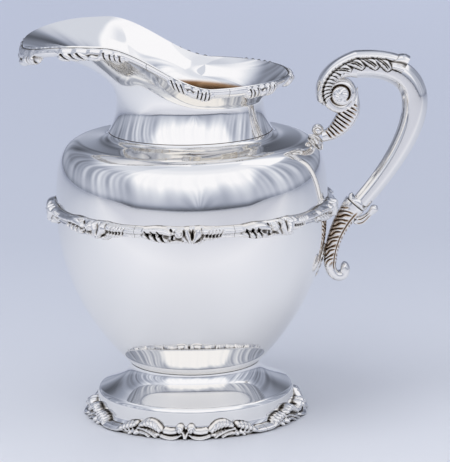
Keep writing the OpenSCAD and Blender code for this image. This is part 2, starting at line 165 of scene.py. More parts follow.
def sterling_sheet(name):
    """Sterling silver, raised and buffed: a clear mirror with the slow roll that the planishing hammer
    left and buffing lines round the piece, drawn coarser than real ones so that they show. Inside, where
    no cloth reaches, it goes tan and dull."""
    hammer_mm, hammer_depth_mm, cloud_mm = 22.0, 0.6, 7.0
    buff_line_mm, buff_length_mm = 0.4, 25.0
    tan_roughness = 0.4
    bright_socket, brown_socket, mixed_socket = 6, 7, 2
    material, tree, shader = new_material(name)
    place = add_node(tree, "TexCoord").outputs["Object"]
    turned_dark = add_node(tree, "Attribute", {"attribute_name": "oxide"}).outputs["Fac"]
    cloud = add_node(tree, "TexNoise", {"Scale": 1 / (cloud_mm * MM), "Detail": 4.0}, {"Vector": place})
    brown = add_node(tree, "ValToRGB", {}, {"Fac": cloud.outputs["Fac"]},
                     [(0.35, "#9c7450"), (0.7, "#d4b08a")])
    tint = add_node(tree, "Mix", {"data_type": "RGBA", bright_socket: linear("#f9f7f3")},
                    {"Factor": turned_dark, brown_socket: brown.outputs["Color"]})
    per_length, per_line = 1 / (buff_length_mm * MM), 1 / (buff_line_mm * MM)
    lines = add_node(tree, "Mapping", {"Scale": (per_length, per_length, per_line)}, {"Vector": place})
    buff = add_node(tree, "TexNoise", {"Scale": 1.0, "Detail": 2.0}, {"Vector": lines.outputs["Vector"]})
    polish = add_node(tree, "MapRange", {"From Min": 0.3, "From Max": 0.7, "To Min": 0.03, "To Max": 0.07},
                      {"Value": buff.outputs["Fac"]})
    rough = add_node(tree, "Math", {"operation": "MULTIPLY_ADD", 1: tan_roughness},
                     {0: turned_dark, 2: polish.outputs["Result"]})
    hammer = add_node(tree, "TexNoise", {"Scale": 1 / (hammer_mm * MM), "Detail": 0.0}, {"Vector": place})
    bump = add_node(tree, "Bump", {"Strength": 0.12, "Distance": hammer_depth_mm * MM},
                    {"Height": hammer.outputs["Fac"]})
    tree.links.new(tint.outputs[mixed_socket], shader.inputs["Base Color"])
    tree.links.new(rough.outputs["Value"], shader.inputs["Roughness"])
    tree.links.new(bump.outputs["Normal"], shader.inputs["Normal"])
    return material


sheet_silver = sterling_sheet("polished_sterling_silver_sheet")
bowl_curve = [
    [waist_r, foot_h],
    [waist_r + 0.49 * (body_r - waist_r), foot_h + 0.21 * bowl_h],
    [body_r, foot_h + 0.55 * bowl_h],
    [body_r, belt_z],
]
waist_way = bezier_way(bowl_curve, [0.0])[0]
waist_out = np.array([waist_r, foot_h]) + solder * right(waist_way)
waist_in = waist_out - sheet_t / waist_way[0] * waist_way
skirt_top = np.array([foot_r - skirt_in, skirt_h])
skirt_way = np.array([0, 1])
dome_way = np.array([-0.92, 0.39])
dome_start = skirt_top + foot_edge_r * dome_way
foot_edge = [
    skirt_top - foot_edge_r * skirt_way,
    skirt_top - 0.45 * foot_edge_r * skirt_way,
    skirt_top + 0.45 * foot_edge_r * dome_way,
    dome_start,
]
foot_curve = [
    dome_start,
    dome_start + 0.4 * (dome_start[0] - waist_r) * dome_way,
    [waist_out[0], skirt_h + 0.48 * (foot_h - skirt_h)],
    waist_out,
]
around = np.linspace(0, 2 * math.pi, 240, endpoint=False)
along = np.linspace(0, 1, 48)
under_waist_t = 0.9
bend_rows = np.linspace(0, 1, 8, endpoint=False)
skirt_z = np.linspace(0, skirt_h - foot_edge_r, 20, endpoint=False)
foot_profile = np.concatenate([
    on_skirt(skirt_z, 0),
    beside(foot_edge, bend_rows),
    beside(foot_curve, along),
    [waist_in],
    beside(foot_curve, under_waist_t * along[::-1], -sheet_t),
    beside(foot_edge, bend_rows[::-1], -sheet_t),
    on_skirt(skirt_z[::-1], -sheet_t),
])
add_piece("foot_finish", turned(foot_profile, around), True, sheet_silver)


# Lower bowl. One cup raised from silver sheet, soldered in the waist of the foot. The inside has
# gone brown where cream stood and no cloth reaches.
def sheet_section(*curves):
    """The closed section of a sheet along curves, outside and back along the inside, with 1 on the inside."""
    outside = np.concatenate([beside(curve, t) for curve, t in curves])
    inside = np.concatenate([beside(curve, t, -sheet_t) for curve, t in curves])
    section = np.concatenate([outside, inside[::-1]])
    section[:, 0] = np.maximum(section[:, 0], 0)
    return section, np.arange(len(section)) >= len(outside)


bowl_dip = 0.29 * waist_r
base_curve = [
    [0, foot_h - bowl_dip],
    [0.46 * waist_r, foot_h - bowl_dip],
    np.array([waist_r, foot_h]) - 0.27 * waist_r * waist_way,
    [waist_r, foot_h],
]
bowl_profile, bowl_inner = sheet_section((base_curve, along), (bowl_curve, along[1:]))
add_piece("lower_bowl_finish", turned(bowl_profile, around), True, sheet_silver, bowl_inner)


# Upper bowl. The shoulder of the body, a second piece of sheet, joined to the lower bowl behind
# the belt, with a flat top that is turned up in a tight bend to take the neck.
shoulder_h = 22.7
shoulder_round = 9.0
neck_r = 24.2
neck_flare = 4.0
collar_h = 2.2
shoulder_z = belt_z + shoulder_h
shoulder_r = body_r - shoulder_round
shoulder_edge = np.array([shoulder_r, shoulder_z])
shoulder_curve = [
    [body_r, belt_z + solder],
    [body_r, belt_z + 0.64 * shoulder_h],
    [body_r - 0.2 * shoulder_round, shoulder_z - 0.03 * shoulder_h],
    shoulder_edge,
]
shoulder_way = bezier_way(shoulder_curve, [1.0])[0]
neck_way = unit(np.array([-0.6, 1.0]))
corner = shoulder_edge - (shoulder_r - neck_r - neck_flare) / shoulder_way[0] * shoulder_way
neck_foot = corner + collar_h * neck_way
top_curve = [shoulder_edge, 0.2 * shoulder_edge + 0.8 * corner, corner, neck_foot]
shoulder_profile, shoulder_inner = sheet_section((shoulder_curve, along), (top_curve, along[1:]))
add_piece("upper_bowl_finish", turned(shoulder_profile, around), True,
          sheet_silver, shoulder_inner)


# Neck and lip. One sheet, round where it stands on the shoulder, swept up into two wings and
# drawn out to a broad helmet spout. Inside, below where the cloth reaches, it has gone brown.
neck_h = 10.0
lip_back_h = 8.4
lip_back_r = 32.6
lip_side_r = 32.6
spout_r = 54.4
wing_h = 14.2
spout_drop = 3.0
spout_square = 2.9
neck_z = neck_foot[1] + neck_h
rim_z = neck_z + lip_back_h
neck_curve = [
    neck_foot,
    neck_foot + 0.4 * neck_h * neck_way,
    [neck_r, neck_z - 0.25 * neck_h],
    [neck_r, neck_z],
]


def ease(x):
    c = np.clip(x, 0, 1)
    return c * c * (3 - 2 * c)


def lip_reach(a):
    front = np.cos(a) < 0
    n = np.where(front, spout_square, 2.0)
    reach = np.where(front, spout_r, lip_back_r)
    return ((np.abs(np.cos(a)) / reach)**n + (np.abs(np.sin(a)) / lip_side_r)**n)**(-1 / n)


def lip_height(a):
    x = -lip_reach(a) * np.cos(a)
    wings = wing_h * ease((x + 0.25 * lip_back_r) / (0.67 * spout_r))
    return rim_z + wings - spout_drop * np.maximum(0, (x - 0.62 * spout_r) / (0.38 * spout_r))**2


def lip_curve(a):
    """The lip's profile at each angle: straight up out of the neck, then flared to the edge."""
    s = (1 - np.cos(a)) / 2
    edge = np.stack([lip_reach(a), lip_height(a)], -1)
    rise = 1.2 + 8.0 * s**1.2
    flare = 0.66 * (lip_back_r - neck_r) * (1 + 2.8 * s**3)
    slope = np.radians(52 + 5 * np.sin(a)**2 - 40 * s**3)
    start = np.stack([np.full_like(a, neck_r), np.full_like(a, neck_z)], -1)
    lift = start + np.stack([np.zeros_like(a), rise], -1)
    bend = edge - flare[:, None] * np.stack([np.cos(slope), np.sin(slope)], -1)
    return np.stack([start, lift, bend, edge], 1)


lip_angles = np.linspace(0, 2 * math.pi, 288, endpoint=False)
lip_curves = lip_curve(lip_angles)
neck_rows = np.linspace(0.02, 1, 16, endpoint=False)
lip_rows = np.linspace(0, 1, 40)


def lip_side(out):
    neck = np.broadcast_to(beside(neck_curve, neck_rows, out), (len(lip_angles), len(neck_rows), 2))
    lip = beside(lip_curves, np.broadcast_to(lip_rows, (len(lip_angles), len(lip_rows))), out)
    return np.concatenate([neck, lip], 1)


lip_profile = np.concatenate([lip_side(0.0), lip_side(-sheet_t)[:, ::-1]], 1)
cloth_reach_z = 108.0
cloth_tilt = 0.06
tarnish_fade = 1.2
lip_x = lip_profile[..., 0] * np.cos(lip_angles)[:, None]
lip_tarnish = ease((cloth_reach_z - cloth_tilt * lip_x - lip_profile[..., 1]) / tarnish_fade + 0.5)
lip_tarnish[:, :len(neck_rows) + len(lip_rows)] = 0
add_piece("neck_and_lip_finish", turned(lip_profile, lip_angles), True,
          sheet_silver, lip_tarnish)


# Foot border. Castings of scrolls, striped leaf peaks and plain bars, butted end to end round the
# skirt and soldered. The chaser left oxide in the grooves and buffed the tops bright.
foot_count = 4
foot_turn = -96.0
foot_border_h = 6.0
foot_web_h = 2.2
border_back = 0.5
buried = -0.3
buff_soft = 0.12


def stroke(points, widths, peak, count=8):
    """A round-backed stroke: a smooth line through given points, its half-widths and its peak."""
    p = np.asarray(points, float)
    p = np.concatenate([[2 * p[0] - p[1]], p, [2 * p[-1] - p[-2]]])
    place = np.linspace(0, len(p) - 3 - 1e-9, count)
    i = place.astype(int)
    t = (place - i)[:, None]
    a, b, c, d = p[i], p[i + 1], p[i + 2], p[i + 3]
    line = 0.5 * (2 * b + (c - a) * t + (2 * a - 5 * b + 4 * c - d) * t**2 + (3 * b - a - 3 * c + d) * t**3)
    return (line, widths, peak)


def around_point(centre, r, angle):
    return np.stack([centre[0] + r * np.cos(angle), centre[1] + r * np.sin(angle)], -1)


def spiral(centre, outer, inner, start, turns):
    """A scroll that winds in from the outer to the inner radius; turns below 0 wind clockwise."""
    share = np.linspace(0, 1, 22)
    angle = math.radians(start) + 2 * math.pi * turns * share
    return around_point(centre, outer + (inner - outer) * share, angle)


def bead(x, y, r, peak):
    return (np.array([[x, y], [x + 0.01, y]]), r, peak)


def mirrored(strokes):
    return strokes + [(line * [-1, 1], widths, peak) for line, widths, peak in strokes]


def round_over(x):
    """The height of a round back: 1 in its middle, at 0, and 0 at its edge, at 1."""
    return np.sqrt(np.maximum(0, 1 - x**2))


def relief(x, y, strokes):
    """The height of strokes at places in mm, the highest where they cross."""
    height = np.zeros(x.shape)
    at = np.stack([x, y], -1)
    for line, widths, peak in strokes:
        widths = np.atleast_1d(widths)
        low = line.min(0) - widths.max()
        high = line.max(0) + widths.max()
        near = ((at >= low) & (at <= high)).all(-1)
        if not near.any():
            continue
        spot = at[near][:, None]
        start, step = line[:-1], np.diff(line, axis=0)
        t = np.clip(((spot - start) * step).sum(-1) / np.maximum((step**2).sum(-1), 1e-9), 0, 1)
        gap = np.linalg.norm(spot - start - t[..., None] * step, axis=-1)
        share = (np.arange(len(step)) + t) / len(step)
        width = np.interp(share, np.linspace(0, 1, len(widths)), widths)
        bump = peak * round_over(gap / width)
        height[near] = np.maximum(height[near], bump.max(-1))
    return height


def blurred(height, spacing, reach):
    """A grid of heights, softened over a reach in mm, with its spacing along each axis in mm."""
    for axis in (0, 1):
        half = int(2.5 * reach / spacing[axis]) + 1
        weights = np.exp(-0.5 * (np.arange(-half, half + 1) * spacing[axis] / reach)**2)
        pad = [(half, half) if i == axis else (0, 0) for i in (0, 1)]
        line = np.pad(height, pad, "edge")
        height = np.apply_along_axis(np.convolve, axis, line, weights / weights.sum(), "valid")
    return height


def crevices(height, spacing, reach, depth):
    """How far each place lies below its surroundings, from 0 to 1: where the oxide stays."""
    return np.clip((blurred(height, spacing, reach) - height) / depth, 0, 1)


def dark_behind(oxide):
    """The oxide of a casting's front and of its back, which is dark all over."""
    return np.concatenate([oxide, np.ones_like(oxide)], 1)


def cast_silver(name, half_turned, dark):
    """Cast sterling silver, chased and buffed: a soft mirror on the tops, a little uneven from the sand,
    whose grain is drawn coarser than real so that it shows, and silver sulphide in the grooves, where the
    cloth doesn't reach."""
    oxide_grain_mm, sand_mm, sand_depth_mm = 1.1, 0.6, 0.05
    material, tree, shader = new_material(name)
    place = add_node(tree, "TexCoord").outputs["Object"]
    groove = add_node(tree, "Attribute", {"attribute_name": "oxide"}).outputs["Fac"]
    grain = add_node(tree, "TexNoise", {"Scale": 1 / (oxide_grain_mm * MM), "Detail": 4.0}, {"Vector": place})
    uneven = add_node(tree, "MapRange", {"To Min": -0.15, "To Max": 0.15}, {"Value": grain.outputs["Fac"]})
    oxide = add_node(tree, "Math", {"operation": "ADD"}, {0: groove, 1: uneven.outputs["Result"]})
    tint = add_node(tree, "ValToRGB", {}, {"Fac": oxide.outputs["Value"]},
                    [(0.2, "#f2f0ed"), (0.5, half_turned), (0.9, dark)])
    rough = add_node(tree, "MapRange", {"To Min": 0.09, "To Max": 0.5}, {"Value": oxide.outputs["Value"]})
    sand = add_node(tree, "TexNoise", {"Scale": 1 / (sand_mm * MM), "Detail": 1.0}, {"Vector": place})
    bump = add_node(tree, "Bump", {"Strength": 0.1, "Distance": sand_depth_mm * MM},
                    {"Height": sand.outputs["Fac"]})
    tree.links.new(tint.outputs["Color"], shader.inputs["Base Color"])
    tree.links.new(rough.outputs["Result"], shader.inputs["Roughness"])
    tree.links.new(bump.outputs["Normal"], shader.inputs["Normal"])
    return material


border_silver = cast_silver("grey_oxidised_cast_silver", "#a29c94", "#262019")


def border_grid(count, radius, low, high, columns):
    """Places along and up one of a ring's castings, in mm, and their spacing each way."""
    half = math.pi / count * radius
    x, y = np.meshgrid(half * np.linspace(-1, 1, columns), np.linspace(low, high, 56), indexing="ij")
    return x, y, (x[1, 0] - x[0, 0], y[0, 1] - y[0, 0])


def butt_round(name, count, turn, radius, section, oxide):
    """Castings in a ring round the jug, butted end to end with solder between them."""
    half = math.pi / count - solder / radius / 2
    for k in range(1, count + 1):
        angles = math.radians(turn + 360 * k / count) + half * np.linspace(-1, 1, len(section))
        add_piece("%s_%d_finish" % (name, k), turned(section, angles), False,
                  border_silver, oxide)


foot_strokes = mirrored([
    bead(1.9, 3.0, 1.6, 4.1),
    stroke([[0.3, 0.6], [0.5, 1.6], [0.9, 2.4]], [0.5, 0.6, 0.5], 3.0, 6),
    stroke([[1.4, 1.5], [3.0, 0.75], [5.2, 0.6], [7.8, 1.1]], [0.5, 0.75, 0.8, 0.7], 3.2, 14),
    stroke([[3.2, 2.3], [5.0, 2.1], [6.9, 2.3]], 1.05, 2.8, 6),
    stroke([[8.6, 2.6], [11.0, 3.9], [13.2, 4.3], [15.6, 3.7]], [1.1, 1.6, 1.5, 0.9], 3.4, 14),
    stroke([[9.6, 0.6], [11.3, 1.5], [14.0, 2.4], [16.6, 2.6]], [0.5, 0.65, 0.65, 0.5], 2.9, 14),
    stroke([[11.9, 0.5], [13.4, 1.1], [15.2, 1.3]], 0.5, 2.6, 14),
    bead(16.9, 1.4, 1.15, 3.3),
    stroke([[18.0, 3.4], [20.0, 2.9], [22.2, 2.2], [23.6, 1.5]], [1.1, 1.4, 1.3, 0.8], 3.5, 14),
    bead(19.3, 0.8, 0.75, 2.7),
    stroke([[22.8, 1.4], [25.0, 1.2], [29.0, 1.1]], [0.8, 1.1, 1.1], 3.0),
])
foot_cuts = mirrored([
    stroke([low, high], 0.2, 0.55, 4) for low, high in (
        ([9.3, 2.0], [9.9, 4.4]), ([10.2, 2.3], [11.3, 5.2]), ([11.2, 2.6], [12.7, 5.6]),
        ([12.3, 2.8], [14.0, 5.3]), ([13.5, 3.0], [15.2, 4.6]))
] + [
    stroke([[17.8 + 1.35 * i, 2.2 - 0.35 * i], [19.0 + 1.35 * i, 4.5 - 0.45 * i]], 0.26, 0.8, 4)
    for i in range(4)
] + [(spiral([1.9, 3.0], 1.1, 0.5, 250, 0.8), 0.18, 0.5)])
foot_top = ([0, 1.9, 3.6, 7.0, 8.2, 10.2, 12.4, 14.2, 16.0, 17.2, 18.0, 20.8, 22.8, 24, 29],
            [2.6, 4.2, 3.2, 3.2, 3.2, 5.0, 5.9, 5.6, 4.5, 3.6, 4.6, 4.2, 3.2, 2.3, 2.2])
foot_x, foot_y, foot_step = border_grid(foot_count, foot_r, 0, foot_border_h, 400)
foot_share = foot_y / np.interp(np.abs(foot_x), *foot_top)
foot_web = foot_web_h * round_over(foot_share**2) * (0.3 + 0.7 * ease(foot_y / 1.4))
foot_body = np.maximum(relief(foot_x, foot_y, foot_strokes), foot_web)
foot_relief = blurred(foot_body - relief(foot_x, foot_y, foot_cuts), foot_step, buff_soft)
foot_relief = np.where(foot_body > 0.02, np.maximum(foot_relief, 0.1), buried)
foot_oxide = dark_behind(crevices(foot_relief, foot_step, 0.5, 0.28))
foot_back = on_skirt(foot_y, -border_back)[:, ::-1]
foot_section = np.concatenate([on_skirt(foot_y, foot_relief), foot_back], 1)
butt_round("foot_border", foot_count, foot_turn, foot_r, foot_section, foot_oxide)


# Belt. Castings of fat leaves and scrolls joined by smooth bars, butted round the body over the
# seam of its two bowls, and finished like the foot border.
belt_count = 9
belt_turn = -93.4
belt_low, belt_high = -3.5, 3.1
belt_web_h = 1.6
belt_strokes = [
    stroke([[9.5, 1.0], [12.5, 0.9], [16.2, 0.9]], 1.3, 2.4),
    stroke([[-16.2, 0.9], [-13.5, 1.0], [-11.5, 1.3]], 1.3, 2.4),
    stroke([[-12.5, 1.3], [-9.0, 1.5], [-6.0, 1.2], [-4.0, 0.5]], [1.1, 1.4, 1.4, 1.0], 3.2),
    stroke([[-12.6, -0.4], [-10.0, -1.0], [-7.0, -1.4], [-5.4, -1.6]], [0.9, 1.3, 1.4, 1.0], 2.9),
    bead(-1.6, 0.6, 1.75, 3.5),
    stroke([[-4.6, -2.2], [-2.6, -1.9], [-0.6, -2.0]], [0.6, 0.85, 0.6], 2.6),
    stroke([[0.9, 1.8], [1.3, 0.2], [2.2, -2.4]], [0.9, 1.2, 0.6], 3.4),
    stroke([[4.3, 1.5], [4.2, 0.4], [3.0, -1.6]], [1.3, 1.7, 0.8], 3.6),
    bead(4.6, -2.3, 1.0, 2.8),
    stroke([[6.4, 1.2], [8.6, 0.9], [11.0, 0.8]], [1.4, 1.3, 0.8], 2.9),
    stroke([[6.2, -1.0], [8.4, -1.2], [10.6, -1.0]], [0.9, 0.9, 0.5], 2.5),
    stroke([[9.6, -1.3], [12.5, -0.9], [16.2, -1.1]], 0.4, 1.9, 10),
    stroke([[-16.2, -1.1], [-14.4, -1.0], [-12.6, -0.9]], 0.4, 1.9),
]
belt_cuts = [
    stroke([[-12.2 + 2.0 * i, 1.2], [-10.0 + 2.0 * i, -2.6]], [0.2, 0.42], 1.8, 4) for i in range(3)
] + [
    stroke([[6.3 + 1.1 * i, -1.9], [7.9 + 1.1 * i, 1.6]], 0.2, 0.7, 4) for i in range(5)
] + [
    stroke([[-4.2, 1.8], [-3.6, 0.4], [-3.8, -1.2]], 0.3, 0.9, 6),
    (spiral([-1.6, 0.6], 1.25, 0.35, 120, -1.3), 0.2, 0.5),
    stroke([[2.7, 2.4], [2.7, 0.6], [2.9, -1.0]], [0.1, 0.16, 0.1], 0.5, 6),
    stroke([[9.6, 1.7], [12.5, 1.65], [16.2, 1.6]], [0.1, 0.16, 0.16], 0.25, 6),
    stroke([[-16.2, 1.6], [-13.5, 1.65], [-11.0, 1.9]], [0.16, 0.16, 0.1], 0.25, 6),
]
belt_outline_x = [-16, -14, -12.5, -8, -3, 0, 5, 7, 10, 12, 16]
belt_top = np.array([2.5, 2.5, 2.5, 2.9, 2.7, 2.7, 3.0, 2.7, 2.5, 2.5, 2.5])
belt_foot = np.array([-1.5, -1.5, -1.8, -2.9, -2.7, -2.8, -3.2, -2.1, -1.7, -1.4, -1.5])
belt_x, belt_y, belt_step = border_grid(belt_count, body_r, belt_low, belt_high, 260)
belt_edge_top = np.interp(belt_x, belt_outline_x, belt_top)
belt_edge_foot = np.interp(belt_x, belt_outline_x, belt_foot)
belt_share = (2 * belt_y - belt_edge_top - belt_edge_foot) / (belt_edge_top - belt_edge_foot)
belt_web = belt_web_h * round_over(belt_share**2)
belt_body = np.maximum(relief(belt_x, belt_y, belt_strokes), belt_web)
belt_cut = np.minimum(belt_body, relief(belt_x, belt_y, belt_cuts))
belt_relief = blurred(belt_body - belt_cut, belt_step, buff_soft)
belt_relief = np.where(belt_body > 0.02, belt_relief, buried)
belt_oxide = dark_behind(crevices(belt_relief, belt_step, 0.45, 0.5))
belt_back = np.stack([np.full_like(belt_y, body_r - border_back), belt_z + belt_y], -1)[:, ::-1]
belt_section = np.concatenate([np.stack([body_r + belt_relief, belt_z + belt_y], -1), belt_back], 1)
butt_round("belt_border", belt_count, belt_turn, body_r, belt_section, belt_oxide)


# Lip border. Castings along the outside of the lip, a little proud of its edge: a thin round-backed
# bar with a fuller cluster of slashes round a bead in the middle of each, boldest at the spout's tip.
rim_count = 8
rim_border_w = 4.2
rim_border_depth = 2.2
edge_rise = 0.6
rim_girth = 6.6
rim_cluster = 6.9
scallop_h = 0.3
scallop_mm = 2.7
tip_cluster = 4.4


def between(x, low, high, edge):
    return ease((x - low) / edge) * ease((high - x) / edge)


def lifted(surface, height, ring=False):
    """A grid of points, moved out along its normals by the height at each. A ring's rows close on
    themselves."""
    along_rows = np.gradient(surface, axis=0)
    across = np.roll(surface, -1, 1) - np.roll(surface, 1, 1) if ring else np.gradient(surface, axis=1)
    normal = np.cross(along_rows, across)
    normal /= np.maximum(np.linalg.norm(normal, axis=-1, keepdims=True), 1e-12)
    return surface + height[..., None] * normal


def lip_place(curves, inward, out):
    """A place on the outside of the lip, by the distance in from its edge and the distance out."""
    reach = 3 * np.linalg.norm(curves[:, 3] - curves[:, 2], axis=-1)
    t = 1 - np.maximum(0, inward) / reach[:, None]
    past = np.minimum(0, inward)[..., None] * bezier_way(curves, np.ones((len(curves), 1)))
    return beside(curves, t, out) - past


rim_strokes = [
    bead(0.2, 3.0, 1.35, 0.9),
    stroke([[-5.4, 3.0], [-3.6, 2.9], [-1.8, 3.0]], [1.6, 2.4, 1.6], 0.5, 6),
    stroke([[2.0, 3.0], [4.2, 2.9], [6.2, 3.0]], [1.6, 2.4, 1.6], 0.5, 6),
]
rim_cuts = [
    stroke([[-5.7 + 1.45 * i, 1.0], [-5.0 + 1.45 * i, 2.8], [-4.5 + 1.45 * i, 5.0]], 0.26, 0.6, 6)
    for i in range(3)
] + [
    stroke([[2.6 + 1.2 * i, 1.0], [2.4 + 1.2 * i, 2.8], [2.0 + 1.2 * i, 5.0]], 0.22, 0.5, 6)
    for i in range(4)
]
rim_u = np.linspace(-1, 1, 210)
rim_v = np.linspace(0, 1, 48)
for k in range(1, rim_count + 1):
    half = math.pi / rim_count - solder / lip_side_r / 2
    angles = math.pi + 2 * math.pi * k / rim_count + half * rim_u
    curves = lip_curve(angles)
    bold = 1 + 1.3 * ((1 - np.cos(angles)) / 2)**8
    rim_x = np.broadcast_to((half * rim_u * lip_reach(angles) / bold)[:, None], (len(rim_u), len(rim_v)))
    rim_x = np.abs(rim_x) - tip_cluster if k == rim_count else rim_x
    rim_y = np.broadcast_to(rim_girth * (1 - rim_v), rim_x.shape)
    cluster = between(np.abs(rim_x), -1, rim_cluster, 1.0)
    width = rim_border_w * (0.7 + 0.3 * between(np.abs(rim_x), -1, rim_cluster + 0.3, 2.0))
    scallop = scallop_h * cluster * np.cos(2 * math.pi * rim_x / scallop_mm)
    inward = width - (width + edge_rise + scallop) * (1 - np.cos(math.pi * rim_v)) / 2
    out = rim_border_depth * (0.52 + 0.3 * cluster) * np.sqrt(np.sin(math.pi * rim_v) + 0.001)
    section = turned(lip_place(curves, inward, solder + bold[:, None] * out), angles)
    rim_step = (abs(rim_x[1, 0] - rim_x[0, 0]), rim_girth / (len(rim_v) - 1))
    rim_relief = blurred(relief(rim_x, rim_y, rim_strokes) - relief(rim_x, rim_y, rim_cuts), rim_step, 0.1)
    rim_relief = rim_relief * ease(rim_v / 0.12) * (0.3 + 0.7 * ease((1 - rim_v) / 0.15))
    front = lifted(section, rim_relief * bold[:, None]**0.7)
    back = turned(lip_place(curves, width * rim_v * 0.85, np.full_like(width, -0.4)), angles)
    oxide = dark_behind(crevices(rim_relief, rim_step, 0.5, 0.2) * cluster)
    add_piece("rim_border_%d_finish" % k, np.concatenate([front, back], 1), False,
              border_silver, oxide)


# Handle loop. A hollow bar cast in two halves, near and far, soldered down the middle and filed
# to six soft faces; full at the top and tapered towards the collar.
scroll_out = 4.7
scroll_up = 16.6
loop_reach = 35.5
loop_depth = 8.4
loop_width = 7.6
loop_end_depth = 5.8
upper_t = 0.683
lower_t = 0.74
upper_seat = bezier(shoulder_curve, [upper_t])[0]
lower_seat = bezier(bowl_curve, [lower_t])[0]
eye = np.array([body_r + scroll_out, upper_seat[1] + scroll_up])
volute_from, volute_to = 60.0, 330.0


def volute_r(a):
    return 4.9 * (1 - 0.78 * ease((a - 240) / 330)) + 5.2 * np.exp(-(a - volute_from) / 45)


def volute_point(a):
    return around_point(eye, volute_r(a), np.radians(a))


def volute_stations(a):
    """Places along the scroll, with their directions and the half depth and half width of the bar there."""
    way = unit(volute_point(a - 1) - volute_point(a + 1))
    depth = 1.65 + 2.1 * np.exp(-(a - volute_from) / 32) - 0.45 * ease((a - 240) / 200)
    width = 0.5 * loop_width * (1 - 0.25 * ease((a - 100) / 200))
    return volute_point(a), way, depth, width


def between_seats(out, share):
    return [body_r + out, lower_seat[1] + share * (upper_seat[1] - lower_seat[1])]


volute_end = [part[0] for part in volute_stations(np.array([volute_from]))]
loop_start = volute_end[0] + solder * volute_end[1]
loop_curve = [
    loop_start,
    loop_start + 0.7 * loop_reach * volute_end[1],
    between_seats(loop_reach, 1.2),
    between_seats(0.31 * loop_reach, 0.46),
]


def loop_stations(t):
    depth = volute_end[2] + (loop_depth / 2 - volute_end[2]) * ease(t / 0.3)
    depth -= (loop_depth - loop_end_depth) / 2 * ease((t - 0.45) / 0.55)
    width = 0.5 * loop_width * (1 - 0.3 * ease((t - 0.5) / 0.5))
    return bezier(loop_curve, t), bezier_way(loop_curve, t), depth, width


def on_stations(stations, section):
    """Points of a bar's sections, each given as inwards and towards the viewer, set on its stations."""
    place, way = stations[:2]
    p = place[:, None] + section[..., :1] * right(way)[:, None]
    return np.stack([p[..., 0], -section[..., 1], p[..., 1]], -1)


def oval(stations, angles, square=0.78):
    """An oval with flattened sides at each station. Angle 0 is its inner side, 90 degrees its near side."""
    c, s = np.cos(angles), np.sin(angles)
    deep = np.sign(c) * np.abs(c)**square * stations[2][:, None]
    wide = np.sign(s) * np.abs(s)**square * stations[3][:, None]
    return np.stack([deep, wide], -1)


def six_sided(stations, angles):
    """A section of six soft faces: a flat near side, a bevel each way from it and round ridges between."""
    soft = 8
    faces = [np.abs(np.cos(angles - math.radians(a)))**soft for a in (32, 90, 148)]
    r = 0.95 * sum(faces)**(-1 / soft)
    deep = r * np.cos(angles) * stations[2][:, None]
    wide = r * np.sin(angles) * stations[3][:, None]
    return np.stack([deep, wide], -1)


handle_silver = cast_silver("polished_cast_silver", "#a89a88", "#3a2a1e")
loop_line = loop_stations(np.linspace(0, 1, 110))
half_round = np.linspace(0, math.pi, 49)
seam_gap = 0.02
loop_section = six_sided(loop_line, half_round)
loop_section[..., 1] = np.maximum(loop_section[..., 1], seam_gap)
loop_rings = on_stations(loop_line, loop_section)
for name, side in (("near", 1), ("far", -1)):
    add_piece("handle_loop_%s_finish" % name, loop_rings * [1, side, 1], False, handle_silver)


# Handle volute. The cast scroll at the top of the loop: a broad band that closes round on itself, and the
# boss that it winds in to, with a deep spiral groove, dark with oxide, and faint flutes on its eye.
def bell(x, width):
    """1 at 0, with a smooth fall to about a third at the width."""
    return np.exp(-(x / width)**2)


volute_angles = np.linspace(volute_to, volute_from, 150)
volute_line = volute_stations(volute_angles)
full_round = np.linspace(0, 2 * math.pi, 72, endpoint=False)
volute_rings = on_stations(volute_line, oval(volute_line, full_round, 0.6))
add_piece("handle_volute_finish", volute_rings, False, handle_silver)

boss_r = 5.3
boss_half_w = 3.7
groove_from, groove_to = 20.0, 430.0
groove_r_from, groove_r_to = 4.2, 2.4
groove_w = 0.36
groove_depth = 0.9
flute_depth = 0.22
boss_turn = np.linspace(0, 2 * math.pi, 180, endpoint=False)[:, None]
boss_out = boss_r * np.sin(np.linspace(0, math.pi / 2, 70))
boss_eye_h = 0.5 * np.maximum(0, 1 - (boss_out / 3.2)**2)
boss_h = boss_half_w * np.sqrt(1 - 0.92 * (boss_out / boss_r)**6) + boss_eye_h
groove_dark = np.zeros((len(boss_turn), len(boss_out)))
for wind in (360, 720):
    groove_at = wind - np.degrees(boss_turn)
    groove_share = (groove_at - groove_from) / (groove_to - groove_from)
    groove_r = groove_r_from + (groove_r_to - groove_r_from) * groove_share
    groove = bell(boss_out - groove_r, groove_w) * between(groove_at, groove_from, groove_to, 40)
    groove_dark = np.maximum(groove_dark, groove)
eye_flutes = (0.5 + 0.5 * np.cos(5 * boss_turn + 2.2 * boss_out)) * between(boss_out, 0.5, 2.5, 0.7)
boss_h = boss_h - groove_depth * groove_dark - flute_depth * eye_flutes
boss_x = np.broadcast_to(boss_out, boss_h.shape)
boss_rows = np.stack([eye[0] + boss_x * np.cos(boss_turn), -boss_h, eye[1] + boss_x * np.sin(boss_turn)], -1)
boss_rings = np.concatenate([boss_rows, boss_rows[:, ::-1] * [1, -1, 1]], 1)
boss_dark = np.maximum(0.9 * groove_dark, 0.25 * eye_flutes)
boss_dark = np.concatenate([boss_dark, boss_dark[:, ::-1]], 1)
add_piece("handle_volute_boss_finish", boss_rings, True,
          handle_silver, boss_dark, "handle_volute")


# Handle leaf. A cast acanthus leaf laid over the outside of the scroll and the loop and soldered
# at its edge: a smooth back, short slashes down the scroll, veined lobes and a blunt tip for the thumb.
leaf_from = 210.0
leaf_loop_t = 0.25
seam_y = 1.15
lobe_starts = (13.6, 18.6, 23.6, 28.4)


